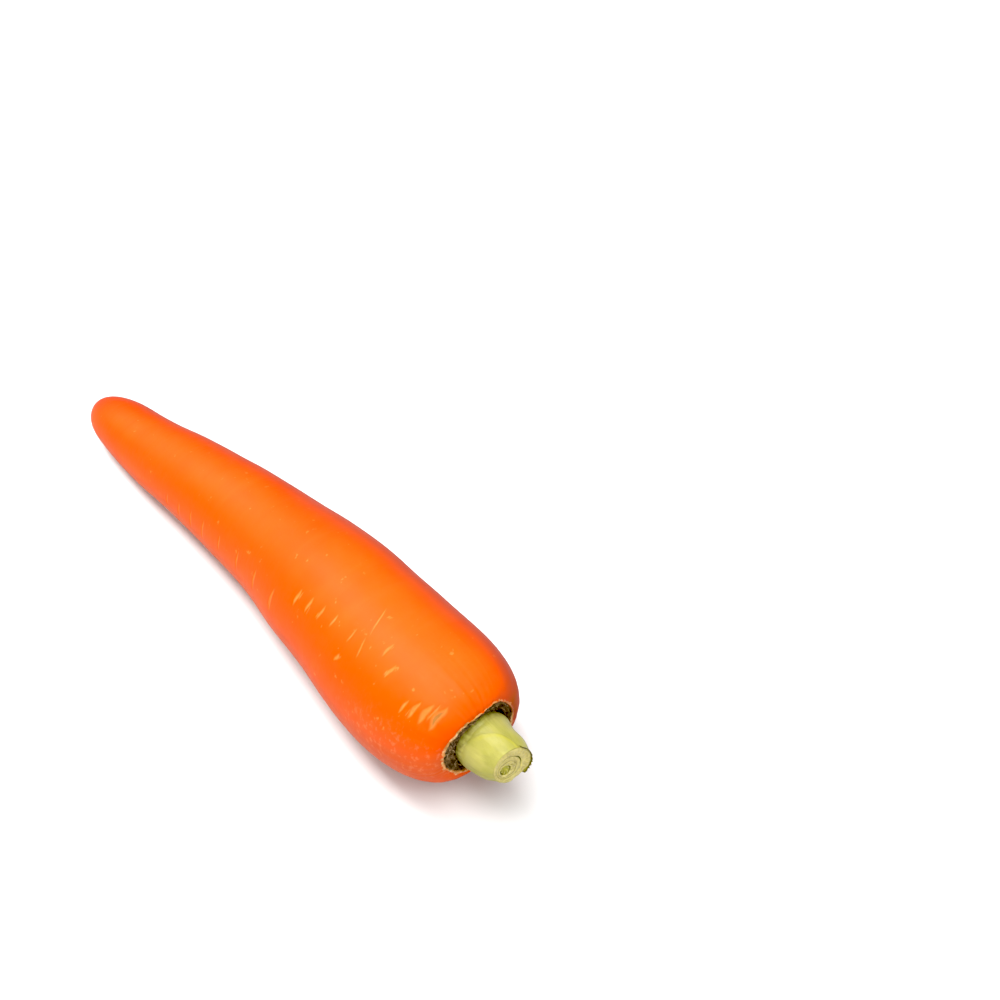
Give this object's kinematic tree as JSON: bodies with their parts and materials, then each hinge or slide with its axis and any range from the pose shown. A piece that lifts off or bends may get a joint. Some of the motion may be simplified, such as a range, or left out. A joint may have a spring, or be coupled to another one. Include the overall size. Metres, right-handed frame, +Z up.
{
  "type": "carrot",
  "caption": "Whole fresh carrot lying on its side: a blunt tapering orange taproot with a trimmed pale green leaf-stalk stub in the hollow of its crown.",
  "frame": {"origin": "middle of the base of the whole carrot's box, on the surface that it rests on", "axes": "+X along the root from its blunt tip to its crown and stub, +Y sideways, towards the side that the root bows to, +Z up"},
  "size_m": [0.217, 0.0456, 0.0448],
  "materials": {
    "carrot_skin": "washed fresh carrot skin, smooth and slightly waxy, with pale cross-wise pores",
    "dried_scar": "dry, dark, fibrous scar tissue",
    "stalk_skin": "smooth moist pale yellow-green stalk",
    "stalk_flesh": "cut stalk flesh, moist, pale and finely ringed",
    "young_stalk": "cut young green stalk, moist"
  },
  "bodies": {
    "root": {"taproot": "carrot_skin", "scar_collar": "dried_scar", "outer_leaf_stalk": "stalk_skin", "middle_leaf_stalk": "stalk_skin", "inner_leaf_stalk": "stalk_flesh", "heart_leaf_stalk": "young_stalk"}
  },
  "joints": []
}
